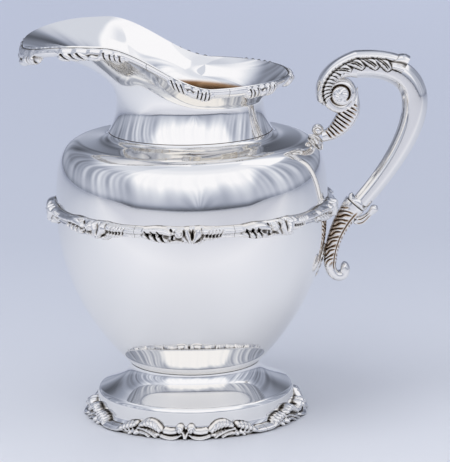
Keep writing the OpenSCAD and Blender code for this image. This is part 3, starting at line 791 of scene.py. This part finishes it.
def run_along(line):
    """The distance along a line of points, from its first point to each."""
    return np.concatenate([[0], np.cumsum(np.linalg.norm(np.diff(line, axis=0), axis=1))])


leaf_line = [
    np.concatenate(parts) for parts in zip(
        volute_stations(np.linspace(leaf_from, volute_from, 110)),
        loop_stations(np.linspace(0.004, leaf_loop_t, 70)))
]
leaf_angles = np.linspace(math.radians(48), math.radians(312), 132)
leaf_oval = oval(leaf_line, leaf_angles)
leaf_bed = on_stations(leaf_line, leaf_oval)
leaf_ridge = on_stations(leaf_line, oval(leaf_line, np.array([math.pi])))[:, 0]
leaf_s = run_along(leaf_ridge)
leaf_length = leaf_s[-1]
leaf_x = np.broadcast_to(leaf_s[:, None], leaf_oval.shape[:2])
leaf_y = -(leaf_line[2][:, None] + leaf_oval[..., 0])
leaf_slashes = [
    stroke([[s, -0.7], [s + 1.5, -2.0], [s + 2.6, -3.4]], [0.5, 0.65, 0.35], 1.1, 7)
    for s in np.linspace(0.4, 13.6, 9)
]
leaf_lobes = [
    stroke([[s + 1.3 * i, -0.9], [s + 2.8 + 0.9 * i, -2.4 + 0.25 * i], [s + 5.3 + 0.4 * i, -3.9 + 0.35 * i]],
           [0.5, 0.7, 0.5], 1.2)
    for s in lobe_starts for i in range(3)
]
leaf_veins = [
    stroke([[s + 0.65, -1.2], [s + 3.3, -2.3], [s + 5.3, -3.5]], [0.14, 0.2, 0.1], 0.5)
    for lobe in lobe_starts for s in (lobe, lobe + 1.2)
]
leaf_relief = relief(leaf_x, leaf_y, leaf_slashes + leaf_lobes) - relief(leaf_x, leaf_y, leaf_veins)
leaf_back = 1.5 * round_over(leaf_y) * ease(leaf_x / 3 + 0.3)
leaf_relief = np.maximum(leaf_relief, leaf_back) - 0.4 * bell(leaf_y + seam_y, 0.2)
leaf_tip = ease((leaf_x - leaf_length + 6.0) / 5.0)
tip_beak = leaf_tip * round_over(leaf_y / 3.2)
leaf_relief = np.maximum(leaf_relief, 2.6 * tip_beak) - 0.9 * leaf_tip * bell(leaf_y + 1.5, 0.7)
leaf_step = (leaf_length / len(leaf_s), 0.16)
leaf_on = leaf_relief > 0.04
# Painted shadow: a thin dark film on the loop just outside the leaf's edge, where the leaf would shade it.
# From here the leaf's oxide holds both the oxide in its grooves and seam and this painted shadow.
leaf_edge_shadow = ~leaf_on & (blurred(1.0 * leaf_on, leaf_step, 0.3) > 0.12)
leaf_seam = bell(leaf_y + seam_y, 0.22)
leaf_oxide_and_shadow = np.maximum(crevices(leaf_relief, leaf_step, 0.5, 0.25), 0.8 * leaf_seam)
leaf_oxide_and_shadow = dark_behind(np.where(leaf_edge_shadow, 0.85, leaf_oxide_and_shadow))
leaf_relief = np.where(leaf_on, leaf_relief, np.where(leaf_edge_shadow, 0.06, buried))
leaf_front = lifted(leaf_bed, leaf_relief)
leaf_under = lifted(leaf_bed, np.full_like(leaf_relief, -0.6))[:, ::-1]
add_piece("handle_leaf_finish", np.concatenate([leaf_front, leaf_under], 1), False,
          border_silver, leaf_oxide_and_shadow)


# Handle tail. A cast crescent that leaves the scroll at its side and curls in to the shoulder, cut from
# its inner edge with slashes that are dark with oxide and run out before its smooth outer edge.
tail_end = upper_seat + [3.2, 1.8]
tail_curve = [eye + [5.5, 1.8], eye + [4.3, -4.5], tail_end + [5.1, 1.0], tail_end + [-1.2, 0.4]]
tail_t = np.linspace(0, 1, 180)
tail_line = [
    bezier(tail_curve, tail_t),
    bezier_way(tail_curve, tail_t),
    0.2 + 3.2 * ease(tail_t / 0.4) - 1.5 * ease((tail_t - 0.5) / 0.5),
    0.8 + 2.5 * ease(tail_t / 0.4) - 1.1 * ease((tail_t - 0.5) / 0.5),
]
tail_rings = on_stations(tail_line, oval(tail_line, full_round))
tail_s = run_along(tail_line[0])
slash_mm = 1.35
slash_depth = 0.6
tail_lean = (1.2 - 2.2 * tail_t[:, None]) * np.cos(full_round)
tail_wave = 0.5 + 0.5 * np.cos(2 * math.pi * (tail_s[:, None] + tail_lean) / slash_mm)
tail_side = ease((np.abs(np.sin(full_round)) - 0.1) / 0.3) * ease((np.cos(full_round) + 0.75) / 0.9)
tail_cut = tail_wave**3 * tail_side * between(tail_t[:, None], 0.2, 0.93, 0.06)
leafwork_silver = cast_silver("brown_oxidised_cast_silver", "#ab9277", "#33200f")
tail_rings = lifted(tail_rings, -slash_depth * tail_cut, True)
add_piece("handle_tail_finish", tail_rings, False, leafwork_silver, tail_cut**0.6)


# Handle upper seat. A small cast leaf of seven lobes, fitted to the curve of the shoulder and
# soldered there, where the tail lands.
def leaf_seat(name, curve, t, along_mm, across_mm, rise, lobes, grid_mm, groove_h):
    """An oval leaf on a raised sheet, domed and lobed, with oxide between its lobes."""
    u = np.linspace(-1, 1, 72)
    v = np.linspace(-1, 1, 48)
    place = bezier(curve, [t])[0]
    mm_per_t = np.linalg.norm(bezier(curve, [t + 0.01])[0] - bezier(curve, [t - 0.01])[0]) / 0.02
    reach = along_mm / mm_per_t * np.sqrt(1 - 0.97 * u**2)
    rows = t + reach[:, None] * v
    dome = 0.15 + rise * (1 - v**2) * (1 - u[:, None]**2)
    angles = across_mm / place[0] * u
    front = turned(beside(curve, rows, dome), angles)
    back = turned(beside(curve, rows, np.full_like(rows, buried)), angles)
    height = relief(np.broadcast_to(across_mm * u[:, None], rows.shape), (rows - t) * mm_per_t, lobes)
    rings = np.concatenate([lifted(front, height), back[:, ::-1]], 1)
    add_piece(name, rings, False,
              border_silver, dark_behind(crevices(height, grid_mm, 0.6, groove_h)))


seat_lobes = mirrored([
    stroke([[0.4, 3.0], [1.9 + 1.1 * i, 1.4 - 1.2 * i], [2.2 + 1.3 * i, -0.6 - 1.3 * i]],
           [0.4, 0.75, 0.5], 0.7)
    for i in range(3)
]) + [stroke([[0.0, 3.4], [0.0, -3.6]], [0.5, 0.8, 0.5], 0.8, 6)]
leaf_seat("handle_upper_seat_finish", shoulder_curve, upper_t + 0.02, 2.8, 4.0, 1.3, seat_lobes,
          (0.12, 0.16), 0.4)


# Handle ball. A cast bead in the angle of tail and seat, with a chased line round it that winds in
# like the end of a small scroll.
ball_d = 4.0
ball_line_from, ball_line_wind, ball_line_w, ball_line_depth = 0.8, 0.9, 0.18, 0.15
ball_middle = np.array([tail_end[0] - 2.6, 0, tail_end[1] + ball_d / 2 + 0.6])
ball_down = np.linspace(0.02, math.pi - 0.02, 60)
ball_line = ball_line_from + ball_line_wind * full_round / (2 * math.pi)
ball_groove = bell(ball_down[:, None] * ball_d / 2 - ball_line, ball_line_w)
ball_groove = np.maximum(ball_groove, ball_groove[::-1])
ball_r = ball_d / 2 - ball_line_depth * ball_groove
ball_rings = ball_middle + np.stack([
    ball_r * np.sin(ball_down)[:, None] * np.cos(full_round),
    -ball_r * np.cos(ball_down)[:, None] * np.ones_like(full_round),
    ball_r * np.sin(ball_down)[:, None] * np.sin(full_round),
], -1)
add_piece("handle_ball_finish", ball_rings, False, handle_silver, 0.6 * ball_groove)


# Handle collar. A cast ring that covers the joint of loop and terminal: a soft round bead, filed to low
# points on the side of the loop.
collar_t = 1.7
collar_point_h = 0.7
collar_foot = [part[0] for part in loop_stations(np.array([1.0]))]
collar_way = collar_foot[1]
collar_s = np.linspace(0, 1, 40)
collar_swell = 0.84 + 0.14 * np.sin(math.pi * collar_s)
collar_line = [
    collar_foot[0] + (solder + collar_s[:, None] * collar_t) * collar_way + 0.9 * right(collar_way),
    np.broadcast_to(collar_way, (len(collar_s), 2)),
    collar_swell * (collar_foot[2] + 1),
    collar_swell * (collar_foot[3] + 0.6),
]
collar_rings = on_stations(collar_line, oval(collar_line, full_round))
collar_points = collar_point_h * (1 - collar_s)[:, None] * np.cos(4 * full_round)
collar_rings[..., 0] -= collar_points * collar_way[0]
collar_rings[..., 2] -= collar_points * collar_way[1]
collar_dark = 0.7 * ease((collar_s - 0.8) / 0.2)[:, None]
add_piece("handle_collar_finish", collar_rings, False, handle_silver, collar_dark)


# Handle terminal. A cast leaf folded along its middle that runs down over the belt and curls up at
# its end: slashes from both edges to a vein, dark with oxide, deeper on the inner side.
terminal_start = collar_foot[0] + (collar_t + 2 * solder) * collar_way + right(collar_way)
curl_eye = lower_seat + [5.9, -5.9]
curl_from, curl_to = 135.0, 440.0


def curl_point(a):
    r = 1.75 + 2.75 * np.exp(-(a - curl_from) / 42) - 0.55 * ease((a - 300) / 140)
    return around_point(curl_eye, r, np.radians(a))


def curl_way(a):
    return unit(curl_point(a + 1) - curl_point(a - 1))


def blunt_end(x):
    """The share of its size that a bar keeps as it rounds off, from x = 0 to its end at 1."""
    return np.sqrt(np.maximum(0.03, 1 - np.clip(x, 0, 1)**2))


curl_start = np.array([curl_from])
terminal_curve = [
    terminal_start,
    terminal_start + 5.5 * collar_way,
    (curl_point(curl_start) - 9 * curl_way(curl_start))[0],
    curl_point(curl_start)[0],
]
terminal_t = np.linspace(0, 1, 140, endpoint=False)
curl_a = np.linspace(curl_from, curl_to, 110)
curl_end = blunt_end((curl_a - 395) / 45)
curl_depth = 1.7 + 0.5 * np.exp(-(curl_a - curl_from) / 45) + 0.5 * ease((curl_a - 320) / 80)
curl_width = 3 - 0.5 * ease((curl_a - curl_from) / 200)
terminal_line = [np.concatenate(parts) for parts in (
    (bezier(terminal_curve, terminal_t), curl_point(curl_a)),
    (bezier_way(terminal_curve, terminal_t), curl_way(curl_a)),
    (2.2 + 1.7 * (1 - terminal_t)**1.6, curl_depth * curl_end),
    (3.4 - 0.4 * terminal_t, curl_width * curl_end),
)]
terminal_s = run_along(terminal_line[0])[:, None]
terminal_rings = on_stations(terminal_line, oval(terminal_line, full_round, 0.7))
rib_mm = 1.6
rib_depth = 0.5
vein_at = -0.42
vein_off = np.cos(full_round) - vein_at
rib_across = np.abs(vein_off)
rib_s = terminal_s + 0.25 * np.sin(1.9 * terminal_s) - 2.4 * rib_across
rib_wave = 0.5 + 0.5 * np.cos(2 * math.pi * rib_s / rib_mm)
rib_side = np.where(vein_off > 0, 1, 0.6) * ease((rib_across - 0.1) / 0.3)
rib_side = rib_side * ease((np.abs(np.sin(full_round)) - 0.1) / 0.3)
rib_cut = rib_wave**2 * rib_side * between(terminal_s, 1.0, 23.0, 3.0)
vein_cut = 0.7 * bell(vein_off, 0.1) * between(terminal_s, 0.5, 25.0, 3.0)
terminal_cut = np.maximum(rib_cut, vein_cut)
# Darker towards its inner side, which faces the bowl.
terminal_inner_side_dark = 0.4 * ease(vein_off / 0.9) * between(terminal_s, 2.0, 20.0, 4.0)
terminal_dark = np.maximum(terminal_cut**0.6, terminal_inner_side_dark)
terminal_rings = lifted(terminal_rings, -rib_depth * terminal_cut, True)
add_piece("handle_terminal_finish", terminal_rings, False,
          leafwork_silver, terminal_dark)


# Handle spur. A small cast leaf that springs from the outer side of the terminal, with two cuts
# down its length and a rolled end.
spur_t = 0.24
spur_cut_depth = 0.3
spur_side = -right(bezier_way(terminal_curve, [spur_t]))[0]
spur_from = bezier(terminal_curve, [spur_t])[0] + 4.1 * spur_side
spur_curve = [
    spur_from - 0.8 * spur_side,
    spur_from + 1.6 * spur_side,
    spur_from + [3.4, 1.6],
    spur_from + [6.6, 5.0],
]
spur_s = np.linspace(0, 1, 70)
spur_depth = 1.5 - 0.5 * ease((spur_s - 0.3) / 0.4) + 0.45 * bell(spur_s - 0.9, 0.1)
spur_depth = spur_depth * blunt_end((spur_s - 0.9) / 0.1)
spur_line = [bezier(spur_curve, spur_s), bezier_way(spur_curve, spur_s), spur_depth, 1.1 * spur_depth]
spur_rings = on_stations(spur_line, oval(spur_line, full_round))
spur_cut = sum(bell(np.cos(full_round) - at, 0.14) for at in (-0.35, 0.35))
spur_cut = spur_cut * np.abs(np.sin(full_round)) * between(spur_s[:, None], 0.02, 0.8, 0.2)
add_piece("handle_spur_finish", lifted(spur_rings, -spur_cut_depth * spur_cut, True), False,
          leafwork_silver, spur_cut)


# Handle lower seat. A thin cast leaf soldered flat on the bowl behind the terminal, veined from
# its stem to its edge.
veins = mirrored([
    stroke([[0.2, 4.6 - 2.4 * i], [1.9, 3.4 - 2.4 * i], [4.2, 2.6 - 2.2 * i]], [0.5, 0.8, 0.5], 0.3)
    for i in range(4)
]) + [stroke([[0.0, 5.6], [0.0, -5.6]], 0.5, 0.4, 6)]
leaf_seat("handle_lower_seat_finish", bowl_curve, lower_t - 0.04, 6.0, 5.5, 0.35, veins, (0.15, 0.25), 0.25)


# Table. A sheet of blue grey paper with a faint sheen that lies under the jug and turns up behind it in a
# wide curve. Its near white front is painted light, whitest in a painted pool of light just before the jug.
def paper_with_painted_light(name):
    """Calendered paper, matt with a faint sheen: blue grey, with painted light that fades it to near white in
    front.
    """
    front_y, back_y = -0.7, 0.9
    material, tree, shader = new_material(name)
    place = add_node(tree, "TexCoord").outputs["Object"]
    parts = add_node(tree, "SeparateXYZ", {}, {"Vector": place})
    share = add_node(tree, "MapRange", {"From Min": front_y, "From Max": back_y},
                     {"Value": parts.outputs["Y"]})
    # Painted light: the colour grows lighter towards the front and is whitest in a band just in front of the
    # jug.
    tint = add_node(tree, "ValToRGB", {}, {"Fac": share.outputs["Result"]},
                    [(0.0, "#dddee3"), (0.25, "#d9dae0"), (0.35, "#f0f0f2"), (0.42, "#e2e4e9"),
                     (0.6, "#ccd0da"), (1.0, "#c8cddb")])
    shader.inputs["Metallic"].default_value = 0.0
    shader.inputs["Roughness"].default_value = 0.35
    shader.inputs["Specular IOR Level"].default_value = 0.15
    tree.links.new(tint.outputs["Color"], shader.inputs["Base Color"])
    return material


sweep_half_w = 4000.0
sweep_front = -4000.0
sweep_y = 2200.0
sweep_r = 900.0
sweep_h = 3000.0
sweep_bend = np.linspace(-math.pi / 2, 0, 24)
sweep_line = np.concatenate([
    [[sweep_front, 0.0]],
    np.stack([sweep_y + sweep_r * np.cos(sweep_bend), sweep_r + sweep_r * np.sin(sweep_bend)], -1),
    [[sweep_y + sweep_r, sweep_h]],
])
sweep_points = [(x * MM, y * MM, z * MM) for x in (-sweep_half_w, sweep_half_w) for y, z in sweep_line]
count = len(sweep_line)
sweep_mesh = bpy.data.meshes.new("table_sweep")
sweep_mesh.from_pydata(sweep_points, [], [(i, count + i, count + i + 1, i + 1) for i in range(count - 1)])
sweep_mesh.polygons.foreach_set("use_smooth", np.ones(count - 1, bool))
sweep_mesh.materials.append(paper_with_painted_light("matt_paper_with_painted_light"))
sweep = bpy.data.objects.new("table_sweep", sweep_mesh)
bpy.context.scene.collection.objects.link(sweep)


# Light tent. White cloth hung over the table and in front of it, lit from outside: white overhead,
# shaded towards its hem, and grey at the sides and behind, where it hangs in folds. Its glow is worked
# out in degrees round from the front, to the right, and up from the table.
tent_r = 1800.0
tent_low = 10.0
turn_deg, rise_deg = np.meshgrid(np.arange(-180, 181, 0.5), np.arange(0, 91, 0.5), indexing="ij")
tent_turn, tent_rise = np.radians(turn_deg), np.radians(rise_deg)
tent_way = np.stack([
    np.sin(tent_turn) * np.cos(tent_rise), -np.cos(tent_turn) * np.cos(tent_rise), np.sin(tent_rise)], -1)
off_front = np.abs(turn_deg)
aside = ease((off_front - 45) / 30)
at_back = ease((off_front - 105) / 30)
hem_glow = np.interp(off_front, [0, 60, 80, 105, 135, 180], [0.44, 0.50, 0.62, 0.47, 0.37, 0.42])
hem_glow = hem_glow - (1 - aside) * 0.06 * np.sin(4 * tent_turn + 0.4)
rise_from = 32 * aside
rise_to = 20 + 38 * aside + 7 * (1 - aside) * ease(np.abs(turn_deg + 8) / 40)
ripple = 2.0 * np.sin(9 * tent_turn + 0.6) + 1.2 * np.sin(23 * tent_turn)
tent_glow = hem_glow + (1 - hem_glow) * ease((rise_deg + ripple - rise_from) / (rise_to - rise_from))
drape = tent_turn + 0.12 * np.sin(3 * tent_rise)
folds = 0.4 * np.sin(17 * drape + 1.1) + 0.3 * np.sin(31 * drape + 0.4) + 0.3 * np.sin(53 * drape + 2.2)
folds = np.tanh(2.2 * folds) + 0.25 * np.tanh(3 * np.sin(41 * drape + 3 * np.sin(5 * drape)))
fold_depth = (0.04 + 0.26 * ease((off_front - 40) / 40)) * (1 - ease((rise_deg - 20) / 40))
fold_depth = fold_depth * (0.4 + 0.6 * ease((rise_deg - 4) / 12))
dusk = 0.24 * at_back * ease((rise_deg - 8) / 8) * (1 - ease((rise_deg - 34) / 14))
overhead = 0.1 * (1 - at_back) * (ease((rise_deg - 44) / 12) + ease((rise_deg - 58) / 14))
far_gap = 0.5 * ease((off_front - 150) / 8) * bell(rise_deg - 23, 7)
left_side = 0.16 * between(turn_deg, -105, -56, 8) * ease((rise_deg - 30) / 8)
gather_x, gather_y = turn_deg - 6, rise_deg + 2
gather_ray = np.arctan2(gather_y, gather_x)
gather = np.tanh(2 * np.sin(15 * gather_ray + 2 * np.sin(4 * gather_ray)))
gather = 0.16 * gather * bell(np.hypot(gather_x, gather_y), 14)
hem_shadow = (0.8 - 0.45 * ease((off_front - 50) / 30)) * bell(rise_deg, 2.2)
behind = 0.28 * ease((turn_deg - 136) / 8) * ease((rise_deg - 36) / 12)
window = between(turn_deg, 84, 134, 6) * between(rise_deg, 38, 72, 6)
tent_glow = tent_glow * (1 + fold_depth * folds) * (1 + gather)
for shade in (dusk, overhead, hem_shadow, behind, far_gap, left_side):
    tent_glow = tent_glow * (1 - shade)
tent_glow = np.maximum(tent_glow, window)
hem_near = 1 - 0.5 * (1 - aside) * (1 - ease(rise_deg / 25))
tent_index = np.arange(tent_turn.size).reshape(tent_turn.shape)
tent_faces = np.stack(
    [tent_index[:-1, :-1], tent_index[1:, :-1], tent_index[1:, 1:], tent_index[:-1, 1:]], -1)
tent_mesh = bpy.data.meshes.new("light_tent")
tent_points = tent_r * hem_near[..., None] * tent_way + [0, 0, tent_low]
tent_mesh.from_pydata((tent_points.reshape(-1, 3) * MM).tolist(), [], tent_faces.reshape(-1, 4).tolist())
glow = tent_mesh.attributes.new("glow", "FLOAT", "POINT")
glow.data.foreach_set("value", tent_glow.ravel().astype(np.float32))
cloth = bpy.data.materials.new("white_tent_cloth")
cloth.use_nodes = True
cloth_tree = cloth.node_tree
cloth_tree.nodes.clear()
cloth_glow = add_node(cloth_tree, "Attribute", {"attribute_name": "glow"})
cloth_tint = add_node(cloth_tree, "ValToRGB", {}, {"Fac": cloth_glow.outputs["Fac"]},
                      [(0.0, "#000000"), (0.36, "#9198aa"), (0.52, "#b0b6c7"), (0.76, "#d4d9e5"),
                       (1.0, "#f6f7fd")])
cloth_light = add_node(cloth_tree, "Emission", {"Strength": 1.08}, {"Color": cloth_tint.outputs["Color"]})
add_node(cloth_tree, "OutputMaterial", {}, {"Surface": cloth_light.outputs["Emission"]})
tent_mesh.materials.append(cloth)
tent = bpy.data.objects.new("light_tent", tent_mesh)
tent.visible_camera = False
tent.visible_shadow = False
bpy.context.scene.collection.objects.link(tent)


# Studio. Two soft boxes in a pale blue room. They light the paper and give the jug its shadow, and the
# silver doesn't mirror them.
world = bpy.data.worlds.new("studio")
world.use_nodes = True
room = world.node_tree.nodes["Background"]
room.inputs["Color"].default_value = linear("#c8cfe0")
room.inputs["Strength"].default_value = 0.8
bpy.context.scene.world = world

for name, place, aim, width, power in (
        ("front_softbox", (-0.5, -0.45, 1.3), (0, 0, 0.05), 0.8, 5),
        ("back_softbox", (0.2, 1.5, 0.7), (0.2, 0.8, 0), 0.8, 5)):
    lamp_light = bpy.data.lights.new(name, "AREA")
    lamp_light.size = width
    lamp_light.energy = power
    lamp = bpy.data.objects.new(name, lamp_light)
    lamp.location = place
    lamp.rotation_euler = (Vector(aim) - lamp.location).to_track_quat("-Z", "Y").to_euler()
    lamp.visible_glossy = False
    bpy.context.scene.collection.objects.link(lamp)


# Camera. Fitted to the photograph: from a little above the jug, with a slight pan and roll.
camera_place = (0, -1.1, 0.31)
frame_h_px = 462
focal_px = 3399
sensor_mm = 36
pitch, pan, roll = math.radians(12.74), math.radians(0.56), math.radians(1.0)
forward = Vector((math.sin(pan) * math.cos(pitch), math.cos(pan) * math.cos(pitch), -math.sin(pitch)))
level = Vector((math.cos(pan), -math.sin(pan), 0))
above = level.cross(forward)
right_way = math.cos(roll) * level - math.sin(roll) * above
up_way = math.sin(roll) * level + math.cos(roll) * above
camera = bpy.data.objects.new("camera", bpy.data.cameras.new("camera"))
turn = Matrix((right_way, up_way, -forward)).transposed().to_4x4()
camera.matrix_world = Matrix.Translation(camera_place) @ turn
camera.data.sensor_fit = "VERTICAL"
camera.data.sensor_height = sensor_mm
camera.data.lens = focal_px / frame_h_px * sensor_mm
bpy.context.scene.collection.objects.link(camera)
bpy.context.scene.camera = camera
bpy.context.scene.view_settings.view_transform = "Standard"
bpy.context.scene.cycles.glossy_bounces = 10  # light goes to and fro between lip, neck and shoulder
